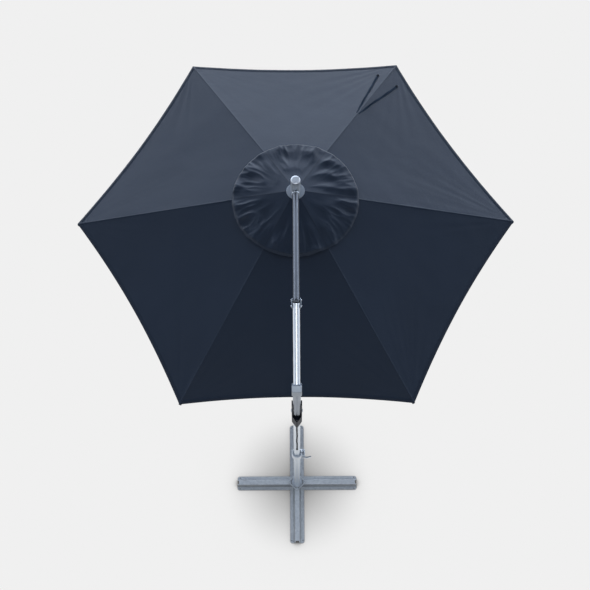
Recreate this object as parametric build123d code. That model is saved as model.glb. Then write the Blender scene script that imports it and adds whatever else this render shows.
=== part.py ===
"""Cantilever parasol: cross base, turning mast, jointed arm and a six-rib folding canopy.

Millimetres, +Z up. The origin is on the ground under the mast's axis. The canopy hangs on the
+Y side, and the arm lies in the plane x = 0.
"""
from build123d import *
import math
import os

# Cross base
BASE_SPAN = 956.0
BEAM_WIDTH = 110.0
RIDGE_FOOT_WIDTH = 61.0
RIDGE_TOP_WIDTH = 36.0
RIDGE_HEIGHT = 34.0
SHEET = 4.0
ANCHOR_R = 4.0
ANCHOR_INSET = 20.0
ANCHOR_SPREAD = 88.0
PLATE_HALF_DIAGONAL = 74.0
PLATE_THICKNESS = 6.0
PLATE_RIM = 8.0
PLATE_BOLT_RADIUS = 52.0
FLARE_R = 41.0
FLARE_TOP = 82.0

# Stand pipe, clamp and mast
PIPE_R = 25.0
PIPE_BORE_R = 22.6
PIPE_TOP = 934.0
MAST_R = 22.5
MAST_BORE_R = 18.5
MAST_BOTTOM = 420.0
MAST_TOP = 1890.0
GROOVE_R = 5.0
COLLAR_R = 37.0
COLLAR_BOTTOM = 868.0
COLLAR_TOP = 948.0
CLAMP_X = 45.0
CLAMP_Z = 908.0
CLAMP_BOLT_R = 4.0
LEVER_Y = -24.0
LEVER_HEIGHT = 20.0

# Hinge housing at the mast's head
HOUSING_BOTTOM = 1775.0
HOUSING_DECK = 1905.0
CHEEK_TOP = 2135.0
CHEEK_INNER = 25.0
CHEEK_OUTER = 33.0
CHEEK_FRONT = -22.0
CHEEK_BACK = 24.0
NOSE_Y = -46.0
NOSE_R = 9.0
TILT_Z = 1975.0
TILT_BOLT_R = 6.0
LATCH_R = 5.0
LATCH_TRAVEL = 8.0

# Release cord, which hangs from the latch
CORD_R = 4.5
CORD_ROUTE = [
    (0.0, -46.0, 1750.0),
    (0.0, -46.0, 1654.0),
    (2.2, -45.4, 1548.0),
    (-1.4, -46.6, 1430.0),
    (2.4, -47.6, 1318.0),
    (0.4, -46.6, 1220.0),
]
KNOT_R = 7.5

# Arm
FOOT_R = 24.5
FOOT_BORE_R = 20.5
FOOT_BOTTOM = 1940.0
BEND_Z = 2410.0
BLOCK_BOTTOM = 2352.0
BLOCK_HALF = 29.0
BLOCK_HALF_WIDTH = 30.5
BLOCK_EXIT = 30.0
LOWER_SLOPE = 35.0
LOWER_R = 22.0
LOWER_BORE_R = 19.5
ELBOW_DISTANCE = 523.0
UPPER_R = 21.0
UPPER_BORE_R = 18.5
ELBOW_BOLT_R = 4.0
KNUCKLE_REACH = 20.0
LOWER_LIP = 3.0
KNUCKLE_ROOM_R = 24.0
CHEEK_MIDDLE = 29.5
CHEEK_BULGE_R = 138.0
EYE_REACH = 62.0
TONGUE_HEIGHT = 22.0

# Canopy hub
HUB_Y = 1350.0
HUB_PIVOT_Z = 2436.0
FLANGE_R = 59.5
FLANGE_BOTTOM = 2394.0
FLANGE_TOP = 2399.0
POST_R = 30.5
POST_BORE_R = 26.5
POST_TOP = 2522.0
PIN_R = 5.0
CROWN_R = 54.0
CROWN_TOP = 2386.5
CROWN_BOTTOM = 2350.0
POLE_R = 17.0
POLE_BORE_R = 15.0
POLE_BOTTOM = 1385.0

# Ribs, struts and runner
RIBS = 6
PIVOT_RADIUS = 46.0
RIB_WIDTH = 12.0
RIB_HEIGHT = 20.0
RIB_WALL = 1.5
JOINT_PIN_R = 2.5
JOINT_HOLE_R = 2.56
STRUT_REACH = 460.0
STRUT_DROP = 17.5
STRUT_WIDTH = 11.4
STRUT_HEIGHT = 12.0
EAR = 2.5
RUNNER_R = 56.0
RUNNER_BORE_R = 17.06
RUNNER_HALF = 17.0

# Fabric: virtual apex and tip of the seam line over each rib
APEX_Z = 2408.0
TIP_Z = 1950.0
TIP_R = 1500.0
HEM_INSET = 43.0
FABRIC = 1.3
PANEL_INNER_R = 290.0
VENT_APEX_Z = 2405.0
VENT_SLOPE = 0.27
VENT_R = 420.0
VENT_INNER_R = 52.0
CUT_GAP = 0.2
STRAP_RIB = 2
STRAP_WIDTH = 14.0
STRAP_THICKNESS = 1.5
STRAP_LIFT = 0.6
STRAP_START = 880.0
STRAP_TAIL = 12.0
STRAP_ENDS = [(1324.0, 66.0), (1309.0, -98.0)]
EYELET_R = 11.0

SEAM_SLOPE = (APEX_Z - TIP_Z) / TIP_R
RIB_ANGLE = math.degrees(math.atan(SEAM_SLOPE))
RIB_TOP_GAP = 2.8
RIB_AXIS_APEX = APEX_Z - RIB_TOP_GAP - RIB_HEIGHT / 2 / math.cos(math.radians(RIB_ANGLE))
RIB_PIVOT_Z = RIB_AXIS_APEX - SEAM_SLOPE * PIVOT_RADIUS
RIB_END = 1478.0
STRUT_LENGTH = math.hypot(STRUT_REACH, STRUT_DROP)
STRUT_ANGLE = RIB_ANGLE + math.degrees(math.atan2(STRUT_DROP, STRUT_REACH))
RUNNER_Z = RIB_PIVOT_Z - 2 * STRUT_LENGTH * math.sin(math.radians(STRUT_ANGLE))

STEP = 360.0 / RIBS


def cylinder_along(start, direction, radius, length):
    """A solid cylinder that starts at a point and runs along a direction."""
    plane = Plane(origin=start, z_dir=direction)
    return extrude(plane * Circle(radius), amount=length)


def cross_cylinder(y, z, radius, low_x, high_x):
    """A cylinder along X between two x values, through a point of the arm's plane."""
    return cylinder_along((low_x, y, z), (1, 0, 0), radius, high_x - low_x)


def upright(y, radius, low_z, high_z, x=0.0):
    """A cylinder along Z between two heights."""
    return cylinder_along((x, y, low_z), (0, 0, 1), radius, high_z - low_z)


def block_between(x, y, z):
    """A box from three (low, high) pairs."""
    size = [pair[1] - pair[0] for pair in (x, y, z)]
    middle = [(pair[0] + pair[1]) / 2 for pair in (x, y, z)]
    return Pos(*middle) * Box(*size)


def side_profile(points, half_width, centre_x=0.0):
    """A polygon of the arm's plane, given as (y, z) points, made half_width thick each way."""
    outline = Plane.YZ * make_face(Polyline(*points, close=True))
    return Pos(centre_x, 0, 0) * extrude(outline, amount=half_width, both=True)


def along(point, angle, distance):
    """The (y, z) point at a distance from another, at an angle above +Y."""
    turn = math.radians(angle)
    return point[0] + distance * math.cos(turn), point[1] + distance * math.sin(turn)


def in_plane(point, x=0.0):
    """The 3-D point of a (y, z) pair."""
    return (x, point[0], point[1])


def slope_vector(angle):
    """The 3-D direction at an angle above +Y."""
    turn = math.radians(angle)
    return (0, math.cos(turn), math.sin(turn))


BEND = (0.0, BEND_Z)
BLOCK_EXIT_POINT = along(BEND, LOWER_SLOPE, BLOCK_EXIT)
ELBOW = along(BEND, LOWER_SLOPE, ELBOW_DISTANCE)
HUB = (HUB_Y, HUB_PIVOT_Z)
UPPER_SLOPE = math.degrees(math.atan2(HUB[1] - ELBOW[1], HUB[0] - ELBOW[0]))
UPPER_LENGTH = math.dist(ELBOW, HUB)
ELBOW_FIXED = along(ELBOW, LOWER_SLOPE, -KNUCKLE_REACH)
ELBOW_PIVOT = along(ELBOW, UPPER_SLOPE, KNUCKLE_REACH)


# Base

def hat_profile(length):
    """A length of hat-section beam along +X from x = 0, with its flanges on the ground."""
    half, foot, top = BEAM_WIDTH / 2, RIDGE_FOOT_WIDTH / 2, RIDGE_TOP_WIDTH / 2
    inside = [(foot - SHEET, 0), (top - SHEET / 2, RIDGE_HEIGHT - SHEET)]
    outside = [(half, 0), (half, SHEET), (foot, SHEET), (top, RIDGE_HEIGHT)]
    right = inside[::-1] + outside
    left = [(-y, z) for y, z in reversed(right)]
    return extrude(Plane.YZ * make_face(Polyline(*right, *left, close=True)), amount=length)


def beam_end(beam, length, x_sign):
    """Round the outer flange corners, cut the ridge's notch and drill the anchor holes."""
    tip = x_sign * length
    corners = [edge for edge in beam.edges().filter_by(Axis.Z)
               if abs(edge.center().X - tip) < 0.1 and abs(abs(edge.center().Y) - BEAM_WIDTH / 2) < 0.1]
    beam = fillet(corners, radius=18.0)
    notch = Pos(tip, 0, RIDGE_HEIGHT) * Box(24.0, RIDGE_TOP_WIDTH - 2 * SHEET, 2.2 * SHEET)
    beam = beam - notch
    for side in (-1, 1):
        hole = upright(side * ANCHOR_SPREAD / 2, ANCHOR_R, -1.0, SHEET + 1.0, tip - x_sign * ANCHOR_INSET)
        beam = beam - hole
    return beam


def plate_hole_points():
    return [(PLATE_BOLT_RADIUS * math.cos(turn), PLATE_BOLT_RADIUS * math.sin(turn))
            for turn in (0, math.pi / 2, math.pi, 3 * math.pi / 2)]


def drilled(solid, radius):
    """Cut the four vertical holes of the foot plate's bolts."""
    for x, y in plate_hole_points():
        solid = solid - upright(y, radius, -1.0, RIDGE_HEIGHT + 20.0, x)
    return solid


def cross_beam_long():
    beam = Pos(-BASE_SPAN / 2, 0, 0) * hat_profile(BASE_SPAN)
    for sign in (-1, 1):
        beam = beam_end(beam, BASE_SPAN / 2, sign)
    return drilled(beam, 4.2)


def cross_beam_half(angle):
    """Half a beam that butts against the long beam's ridge and sits over its flange."""
    beam = beam_end(hat_profile(BASE_SPAN / 2), BASE_SPAN / 2, 1)
    half, foot, top = BEAM_WIDTH / 2, RIDGE_FOOT_WIDTH / 2, RIDGE_TOP_WIDTH / 2
    slope = (foot - top) / (RIDGE_HEIGHT - SHEET)
    over = top - slope
    taken = [(-half, -1.0), (half, -1.0), (half, SHEET), (foot, SHEET), (over, RIDGE_HEIGHT + 1.0),
             (-half, RIDGE_HEIGHT + 1.0)]
    room = extrude(Plane.XZ * make_face(Polyline(*taken, close=True)), amount=BEAM_WIDTH, both=True)
    return drilled(Rot(0, 0, angle) * (beam - room), 4.2)


def backing_bar():
    """A bar inside the long beam's ridge. Its underside is the part's resting face."""
    bar = block_between((-75.0, 75.0), (-19.5, 19.5), (0.0, SHEET))
    for x in (-PLATE_BOLT_RADIUS, PLATE_BOLT_RADIUS):
        bar = bar - upright(0.0, 4.2, -1.0, SHEET + 1.0, x)
    return bar


def foot_plate():
    side = PLATE_HALF_DIAGONAL * math.sqrt(2)
    top = RIDGE_HEIGHT + PLATE_THICKNESS
    outline = fillet(Rectangle(side, side).vertices(), radius=7.0)
    inner = fillet(Rectangle(side - 2 * PLATE_RIM, side - 2 * PLATE_RIM).vertices(), radius=4.0)
    plate = extrude(outline, amount=PLATE_THICKNESS)
    rim = extrude(outline - inner, amount=PLATE_THICKNESS + 4.0)
    plate = Pos(0, 0, RIDGE_HEIGHT) * Rot(0, 0, 45) * (plate + rim)
    plate = plate - upright(0.0, PIPE_R + 0.1, RIDGE_HEIGHT - 1.0, top + 1.0)
    return drilled(plate, 4.2)


def foot_bolts():
    """Dome-headed bolts and nuts at the side corners, socket screws at the front and back."""
    top = RIDGE_HEIGHT + PLATE_THICKNESS
    bolts = []
    for index, (x, y) in enumerate(plate_hole_points()):
        shank = upright(y, 4.0, 6.5 if index % 2 == 0 else 16.0, top + 0.5, x)
        if index % 2 == 0:
            head = Pos(x, y, top) * extrude(RegularPolygon(7.0, 6), amount=4.5)
        else:
            ring = upright(y, 6.8, top, top + 4.2, x)
            head = ring - Pos(x, y, top + 1.6) * extrude(RegularPolygon(3.6, 6), amount=4.0)
        nut_z = SHEET if index % 2 == 0 else RIDGE_HEIGHT - SHEET - 6.5
        nut = Pos(x, y, nut_z) * extrude(RegularPolygon(7.0, 6), amount=6.5)
        bolts.append(shank + head + nut)
    return Compound(bolts)


def foot_flare():
    """The dished ring and trumpet-shaped socket that the stand pipe is welded into."""
    floor = RIDGE_HEIGHT + PLATE_THICKNESS
    with BuildSketch(Plane.XZ) as outline:
        with BuildLine():
            Polyline((PIPE_R + 0.1, floor), (FLARE_R, floor), (FLARE_R, floor + 7.0),
                     (FLARE_R - 4.0, floor + 7.0), (FLARE_R - 8.0, floor + 3.0))
            Spline((FLARE_R - 8.0, floor + 3.0), (PIPE_R + 4.6, floor + 12.0), (PIPE_R + 2.2, FLARE_TOP),
                   tangents=[(-1, 0.05), (-0.02, 1)])
            Polyline((PIPE_R + 2.2, FLARE_TOP), (PIPE_R + 0.1, FLARE_TOP), (PIPE_R + 0.1, floor))
        make_face()
    flare = revolve(outline.sketch, axis=Axis.Z)
    return flare


def stand_pipe():
    pipe = upright(0.0, PIPE_R, RIDGE_HEIGHT, PIPE_TOP)
    return pipe - upright(0.0, PIPE_BORE_R, RIDGE_HEIGHT + PLATE_THICKNESS, PIPE_TOP + 1.0)


def clamp_collar():
    """A split ring round the pipe's mouth, with two lugs for the clamp bolt on the +X side."""
    ring = upright(0.0, COLLAR_R, COLLAR_BOTTOM, COLLAR_TOP)
    ring = chamfer(ring.edges().filter_by(GeomType.CIRCLE), length=3.0)
    lugs = block_between((28.0, 58.0), (-15.0, 15.0), (COLLAR_BOTTOM + 12.0, COLLAR_TOP - 12.0))
    lugs = fillet(lugs.edges().filter_by(Axis.Y), radius=6.0)
    collar = ring + lugs - upright(0.0, PIPE_R + 0.1, COLLAR_BOTTOM - 1.0, PIPE_TOP + 0.3)
    collar = collar - upright(0.0, MAST_R + 0.5, COLLAR_BOTTOM, COLLAR_TOP + 1.0)
    split = block_between((20.0, 60.0), (-2.0, 2.0), (COLLAR_BOTTOM - 1.0, COLLAR_TOP + 1.0))
    hole = cylinder_along((CLAMP_X, -16.0, CLAMP_Z), (0, 1, 0), CLAMP_BOLT_R + 0.15, 32.0)
    return collar - split - hole


def clamp_bolt():
    """The stud across the lugs, with a yoke at the lever's end."""
    stud = cylinder_along((CLAMP_X, -16.5, CLAMP_Z), (0, 1, 0), CLAMP_BOLT_R, 52.0)
    inside = LEVER_HEIGHT / 2 + 0.6
    outside = inside + 4.0
    yoke = block_between((CLAMP_X - 7.0, CLAMP_X + 7.0), (LEVER_Y - 6.0, -15.0),
                         (CLAMP_Z - outside, CLAMP_Z + outside))
    gap = block_between((CLAMP_X - 8.0, CLAMP_X + 8.0), (LEVER_Y - 7.0, -17.0),
                        (CLAMP_Z - inside, CLAMP_Z + inside))
    pin = upright(LEVER_Y, JOINT_PIN_R, CLAMP_Z - outside + 1.0, CLAMP_Z + outside - 1.0, CLAMP_X)
    return stud + (yoke - gap) + pin


def clamp_knob():
    """A round fluted hand nut on the stud's far end."""
    knob = cylinder_along((CLAMP_X, 22.5, CLAMP_Z), (0, 1, 0), 14.5, 12.0)
    knob = fillet(knob.edges().filter_by(GeomType.CIRCLE), radius=3.0)
    knob = knob + cylinder_along((CLAMP_X, 15.3, CLAMP_Z), (0, 1, 0), 7.5, 8.0)
    for index in range(8):
        turn = index * math.pi / 4
        x = CLAMP_X + 16.2 * math.cos(turn)
        z = CLAMP_Z + 16.2 * math.sin(turn)
        knob = knob - cylinder_along((x, 14.0, z), (0, 1, 0), 3.4, 22.0)
    return knob - cylinder_along((CLAMP_X, 14.0, CLAMP_Z), (0, 1, 0), CLAMP_BOLT_R + 0.05, 24.0)


def clamp_lever():
    """A cam lever on the yoke's pin, pointing away from the mast along +X."""
    low = CLAMP_Z - LEVER_HEIGHT / 2
    cam = upright(LEVER_Y, 6.6, low, low + LEVER_HEIGHT, CLAMP_X)
    bend = (CLAMP_X + 28.0, LEVER_Y - 3.0)
    tip = (CLAMP_X + 54.0, LEVER_Y + 4.0)
    inner = make_hull((Pos(CLAMP_X, LEVER_Y, low) * Circle(5.5) + Pos(*bend, low) * Circle(5.0)).edges())
    outer = make_hull((Pos(*bend, low) * Circle(5.0) + Pos(*tip, low) * Circle(4.0)).edges())
    arm = extrude(inner + outer, amount=LEVER_HEIGHT, dir=(0, 0, 1))
    hole = upright(LEVER_Y, JOINT_HOLE_R, CLAMP_Z - 20.0, CLAMP_Z + 20.0, CLAMP_X)
    return cam + arm - hole


# Mast and hinge housing

def mast_tube():
    tube = upright(0.0, MAST_R, MAST_BOTTOM, MAST_TOP)
    tube = tube - upright(0.0, MAST_BORE_R, MAST_BOTTOM - 1.0, MAST_TOP + 1.0)
    return tube - upright(-MAST_R - 2.4, GROOVE_R, PIPE_TOP + 1.0, MAST_TOP + 1.0)


def housing_block():
    """The whole housing: a boat-shaped body round the mast's head, with two cheeks above."""
    corner = 10.0
    discs = Pos(0, NOSE_Y, 0) * Circle(NOSE_R)
    for x in (corner - CHEEK_OUTER, CHEEK_OUTER - corner):
        for y in (CHEEK_FRONT + corner, CHEEK_BACK - corner):
            discs = discs + Pos(x, y, 0) * Circle(corner)
    hull = make_hull(discs.edges())
    body = extrude(Plane.XY.offset(HOUSING_BOTTOM) * hull, amount=HOUSING_DECK - HOUSING_BOTTOM)
    body = fillet(body.edges().group_by(Axis.Z)[0], radius=4.0)
    block = body
    for side in (-1, 1):
        low, high = sorted((side * CHEEK_INNER, side * CHEEK_OUTER))
        cheek = block_between((low, high), (CHEEK_FRONT + 4.0, CHEEK_BACK - 4.0), (HOUSING_DECK - 5.0, CHEEK_TOP))
        crests = cheek.edges().filter_by(Axis.X).group_by(Axis.Z)[-1]
        block = block + fillet(crests, radius=15.0)
    block = block - upright(0.0, MAST_R + 0.1, HOUSING_BOTTOM - 1.0, MAST_TOP + 0.5)
    block = block - upright(NOSE_Y, LATCH_R + 0.08, HOUSING_BOTTOM - 1.0, HOUSING_DECK + 1.0)
    block = block - cross_cylinder(0.0, TILT_Z, TILT_BOLT_R + 0.1, -40.0, 40.0)
    for z in screw_heights():
        block = block - cross_cylinder(-33.0, z, 2.2, -40.0, 40.0)
    return block


def screw_heights():
    return (HOUSING_BOTTOM + 25.0, HOUSING_DECK - 25.0)


def housing_half(side):
    """One of the two shells, which part at x = 0."""
    low, high = sorted((0.0, -side * 60.0))
    return housing_block() - block_between((low, high), (-90.0, 60.0), (HOUSING_BOTTOM - 5.0, CHEEK_TOP + 5.0))


def housing_screws():
    """Two screws through the nose and a cross pin through the mast's head."""
    screws = []
    for z in screw_heights():
        screws.append(cross_cylinder(-33.0, z, 2.0, -14.0, 14.0))
    return Compound(screws)


def tilt_bolt():
    """The bolt that the arm tilts on, with a low round head at each end."""
    bolt = cross_cylinder(0.0, TILT_Z, TILT_BOLT_R, -CHEEK_OUTER - 1.0, CHEEK_OUTER + 1.0)
    for side in (-1, 1):
        low, high = sorted((side * CHEEK_OUTER, side * (CHEEK_OUTER + 4.5)))
        head = cross_cylinder(0.0, TILT_Z, 10.5, low, high)
        outer = head.edges().filter_by(GeomType.CIRCLE).sort_by(Axis.X)[-1 if side > 0 else 0]
        bolt = bolt + fillet(outer, radius=2.0)
    return bolt


def latch():
    """The sliding latch: an upright pin in the housing's nose with a tooth under the arm's foot."""
    pin = upright(NOSE_Y, LATCH_R, CORD_ROUTE[0][2], 1928.0)
    tooth = block_between((-6.0, 6.0), (NOSE_Y, -25.0), (HOUSING_DECK + LATCH_TRAVEL + 2.0, 1928.0))
    return pin + fillet(tooth.edges().filter_by(Axis.X), radius=2.0)


def release_cord():
    """A straight-run tube with tangent arcs, hanging from the latch's pin."""
    radii = []
    for before, here, after in zip(CORD_ROUTE, CORD_ROUTE[1:], CORD_ROUTE[2:]):
        run_in = Vector(*here) - Vector(*before)
        run_out = Vector(*after) - Vector(*here)
        half_turn = math.radians(run_in.get_angle(run_out)) / 2
        radii.append(0.45 * min(run_in.length, run_out.length) / math.tan(half_turn))
    print("cord radii", [round(radius) for radius in radii])
    path = FilletPolyline(*CORD_ROUTE, radius=radii)
    start = Vector(*CORD_ROUTE[0])
    first = Vector(*CORD_ROUTE[1]) - start
    tube = sweep(Plane(origin=start, z_dir=first) * Circle(CORD_R), path=path)
    print("cord volume over section times length", tube.volume / (math.pi * CORD_R**2 * path.length))
    return tube


def cord_knot():
    """The round knot that ends the cord, flattened where the cord enters it."""
    x, y, z = CORD_ROUTE[-1]
    ball = Pos(x, y, z - 5.0) * Sphere(KNOT_R)
    run = Vector(*CORD_ROUTE[-1]) - Vector(*CORD_ROUTE[-2])
    cutter = cylinder_along(CORD_ROUTE[-1], tuple(run * -1), 20.0, 30.0)
    return ball - cutter


# Arm

def arm_foot():
    """The fluted upright tube that the housing's cheeks hold."""
    tube = upright(0.0, FOOT_R, FOOT_BOTTOM, BLOCK_BOTTOM)
    for index in range(12):
        turn = 2 * math.pi * index / 12 - math.pi / 2
        front = index == 0
        depth = 0.6 if front else 1.5
        radius = GROOVE_R if front else 2.8
        reach = FOOT_R + depth
        tube = tube - upright(reach * math.sin(turn), radius, FOOT_BOTTOM - 1.0, BLOCK_BOTTOM + 1.0,
                              reach * math.cos(turn))
    tube = tube - upright(0.0, FOOT_BORE_R - 1.6, FOOT_BOTTOM - 1.0, BLOCK_BOTTOM + 1.0)
    return tube - cross_cylinder(0.0, TILT_Z, TILT_BOLT_R + 0.06, -40.0, 40.0)


def arm_foot_plug():
    """The plug in the foot's lower end that the tilt bolt bears in."""
    plug = upright(0.0, FOOT_BORE_R - 1.7, FOOT_BOTTOM + 1.0, TILT_Z + 60.0)
    return plug - cross_cylinder(0.0, TILT_Z, TILT_BOLT_R + 0.06, -40.0, 40.0)


def bend_block():
    """The bend between the upright foot and the sloping lower tube, with a spigot into each."""
    turn = math.radians(LOWER_SLOPE)
    upper = along(BLOCK_EXIT_POINT, LOWER_SLOPE + 90.0, BLOCK_HALF)
    lower = along(BLOCK_EXIT_POINT, LOWER_SLOPE - 90.0, BLOCK_HALF)
    back = upper[0] + BLOCK_HALF
    front = lower[0] - BLOCK_HALF
    points = [
        (-BLOCK_HALF, BLOCK_BOTTOM),
        (BLOCK_HALF, BLOCK_BOTTOM),
        (BLOCK_HALF, lower[1] - front * math.tan(turn)),
        lower,
        upper,
        (-BLOCK_HALF, upper[1] - back * math.tan(turn)),
    ]
    block = side_profile(points, BLOCK_HALF_WIDTH)
    block = chamfer(block.edges(), length=4.0)
    block = block + upright(0.0, FOOT_BORE_R - 1.8, BLOCK_BOTTOM - 45.0, BLOCK_BOTTOM + 5.0)
    spigot_length = BLOCK_EXIT + 45.0
    return block + cylinder_along(in_plane(BEND), slope_vector(LOWER_SLOPE), LOWER_BORE_R - 0.2, spigot_length)


def knuckle_room():
    """The room that the turning knuckle needs in the lower tube's end."""
    return cross_cylinder(*ELBOW_PIVOT, KNUCKLE_ROOM_R, -40.0, 40.0)


def lower_arm_tube():
    start = in_plane(BLOCK_EXIT_POINT)
    length = ELBOW_DISTANCE - BLOCK_EXIT + LOWER_LIP
    tube = cylinder_along(start, slope_vector(LOWER_SLOPE), LOWER_R, length)
    tube = tube - cylinder_along(start, slope_vector(LOWER_SLOPE), LOWER_BORE_R, length + 1.0)
    return tube - knuckle_room() - cross_cylinder(*ELBOW_FIXED, ELBOW_BOLT_R + 0.1, -40.0, 40.0)


def elbow_cheek(side):
    """One bulging side plate of the elbow, from the lower tube's bolt to the fold pivot."""
    low, high = sorted((side * 22.3, side * CHEEK_MIDDLE))
    span = math.dist(ELBOW_FIXED, ELBOW_PIVOT)
    angle = math.degrees(math.atan2(ELBOW_PIVOT[1] - ELBOW_FIXED[1], ELBOW_PIVOT[0] - ELBOW_FIXED[0]))
    middle = ((ELBOW_FIXED[0] + ELBOW_PIVOT[0]) / 2, (ELBOW_FIXED[1] + ELBOW_PIVOT[1]) / 2)
    plate = Plane(origin=in_plane(middle, low), x_dir=slope_vector(angle), z_dir=(1, 0, 0))
    cheek = extrude(plate * SlotCenterToCenter(span, 28.0), amount=high - low)
    below = in_plane(along(middle, angle + 90.0, -20.0), side * (CHEEK_MIDDLE - CHEEK_BULGE_R))
    cheek = cheek & cylinder_along(below, slope_vector(angle + 90.0), CHEEK_BULGE_R, 40.0)
    cheek = chamfer(cheek.edges(), length=0.8)
    for centre in (ELBOW_FIXED, ELBOW_PIVOT):
        cheek = cheek - cross_cylinder(*centre, ELBOW_BOLT_R + 0.1, -40.0, 40.0)
    return cheek


def elbow_bolts():
    """The two bolts across the elbow, each with a low dome at both ends."""
    bolts = []
    for centre in (ELBOW_FIXED, ELBOW_PIVOT):
        bolt = cross_cylinder(*centre, ELBOW_BOLT_R, -29.0, 29.0)
        for side in (-1, 1):
            low, high = sorted((side * (CHEEK_MIDDLE - 0.6), side * (CHEEK_MIDDLE + 2.5)))
            head = cross_cylinder(*centre, 6.5, low, high)
            outer = head.edges().filter_by(GeomType.CIRCLE).sort_by(Axis.X)[-1 if side > 0 else 0]
            bolt = bolt + fillet(outer, radius=2.2)
        bolts.append(bolt)
    return Compound(bolts)


def elbow_plug():
    """The plug in the lower tube's end that its bolt clamps on, hollowed for the knuckle."""
    start = along(ELBOW, LOWER_SLOPE, -60.0)
    length = 60.0 + LOWER_LIP - 2.0
    plug = cylinder_along(in_plane(start), slope_vector(LOWER_SLOPE), LOWER_BORE_R - 0.2, length)
    return plug - knuckle_room() - cross_cylinder(*ELBOW_FIXED, ELBOW_BOLT_R + 0.1, -40.0, 40.0)


def upper_arm_tube():
    start = in_plane(along(ELBOW, UPPER_SLOPE, KNUCKLE_REACH + 8.0))
    length = UPPER_LENGTH - KNUCKLE_REACH - 8.0 - EYE_REACH
    tube = cylinder_along(start, slope_vector(UPPER_SLOPE), UPPER_R, length)
    return tube - cylinder_along(start, slope_vector(UPPER_SLOPE), UPPER_BORE_R, length + 1.0)


def elbow_insert():
    """The knuckle in the upper tube's lower end, rounded about the pivot it turns on."""
    direction = slope_vector(UPPER_SLOPE)
    pivot = in_plane(ELBOW_PIVOT)
    start = in_plane(along(ELBOW_PIVOT, UPPER_SLOPE, -UPPER_R))
    knuckle = cylinder_along(start, direction, UPPER_R, UPPER_R)
    knuckle = knuckle & cross_cylinder(*ELBOW_PIVOT, UPPER_R, -30.0, 30.0)
    neck = cylinder_along(pivot, direction, UPPER_R, 8.0)
    insert = knuckle + neck + cylinder_along(pivot, direction, UPPER_BORE_R - 0.2, 60.0)
    return insert - cross_cylinder(*ELBOW_PIVOT, ELBOW_BOLT_R + 0.06, -40.0, 40.0)


def arm_eye():
    """The ferrule on the upper tube's end, with the flat eye that the hub's pin goes through."""
    direction = slope_vector(UPPER_SLOPE)
    spigot_start = in_plane(along(HUB, UPPER_SLOPE, -EYE_REACH - 40.0))
    spigot = cylinder_along(spigot_start, direction, UPPER_BORE_R - 0.2, 42.0)
    ferrule = cylinder_along(in_plane(along(HUB, UPPER_SLOPE, -EYE_REACH)), direction, 25.5, 9.0)
    ferrule = chamfer(ferrule.edges().filter_by(GeomType.CIRCLE), length=1.5)
    tongue = cross_cylinder(*HUB, TONGUE_HEIGHT / 2, -11.0, 11.0)
    middle = along(HUB, UPPER_SLOPE, -EYE_REACH / 2)
    plane = Plane(origin=in_plane(middle), x_dir=(1, 0, 0), z_dir=direction)
    tongue = tongue + plane * Box(22.0, TONGUE_HEIGHT, EYE_REACH)
    eye = spigot + ferrule + tongue
    return eye - cross_cylinder(*HUB, PIN_R + 0.06, -40.0, 40.0)


# Canopy hub

def hub_upright(radius, low_z, high_z):
    return upright(HUB_Y, radius, low_z, high_z)


def hub_post():
    """The hollow post on the flange, open in front for the arm's eye."""
    post = hub_upright(POST_R, FLANGE_TOP, POST_TOP)
    post = post - hub_upright(POST_BORE_R, FLANGE_TOP + 6.0, POST_TOP - 6.0)
    slot = block_between((-12.0, 12.0), (HUB_Y - 50.0, HUB_Y), (HUB_PIVOT_Z - 14.0, HUB_PIVOT_Z + 24.0))
    slot = fillet(slot.edges().filter_by(Axis.Y), radius=3.0)
    return post - slot - cross_cylinder(*HUB, PIN_R + 0.1, -40.0, 40.0)


def post_cap():
    """The bright domed cap, with a screwdriver groove across its top."""
    cap = hub_upright(POST_R + 0.5, POST_TOP + 2.0, POST_TOP + 25.0)
    cap = fillet(cap.edges().filter_by(GeomType.CIRCLE).sort_by(Axis.Z)[-1], radius=9.0)
    neck = hub_upright(POST_R - 3.0, POST_TOP, POST_TOP + 3.0)
    groove = Pos(9.0, HUB_Y, POST_TOP + 25.0) * Rot(0, 0, -35) * Box(7.0, 90.0, 7.0)
    return cap + neck - groove


def hub_pin():
    return cross_cylinder(*HUB, PIN_R, -POST_R + 0.5, POST_R - 0.5)


def hub_flange():
    flange = hub_upright(FLANGE_R, FLANGE_BOTTOM, FLANGE_TOP)
    flange = fillet(flange.edges().filter_by(GeomType.CIRCLE).sort_by(Axis.Z)[-1], radius=2.0)
    return flange - hub_upright(10.2, FLANGE_BOTTOM - 1.0, FLANGE_TOP + 1.0)


def radial_slot(angle, low_r, high_r, width, low_z, high_z):
    """A box cutter along a radius of the canopy's hub."""
    cutter = block_between((low_r, high_r), (-width / 2, width / 2), (low_z, high_z))
    return Pos(0, HUB_Y, 0) * Rot(0, 0, angle) * cutter


def radial_pin(angle, radius, z):
    """A pin across a radial slot, along the tangent."""
    pin = cylinder_along((PIVOT_RADIUS, -RIB_WIDTH, z), (0, 1, 0), radius, 2 * RIB_WIDTH)
    return Pos(0, HUB_Y, 0) * Rot(0, 0, angle) * pin


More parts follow.
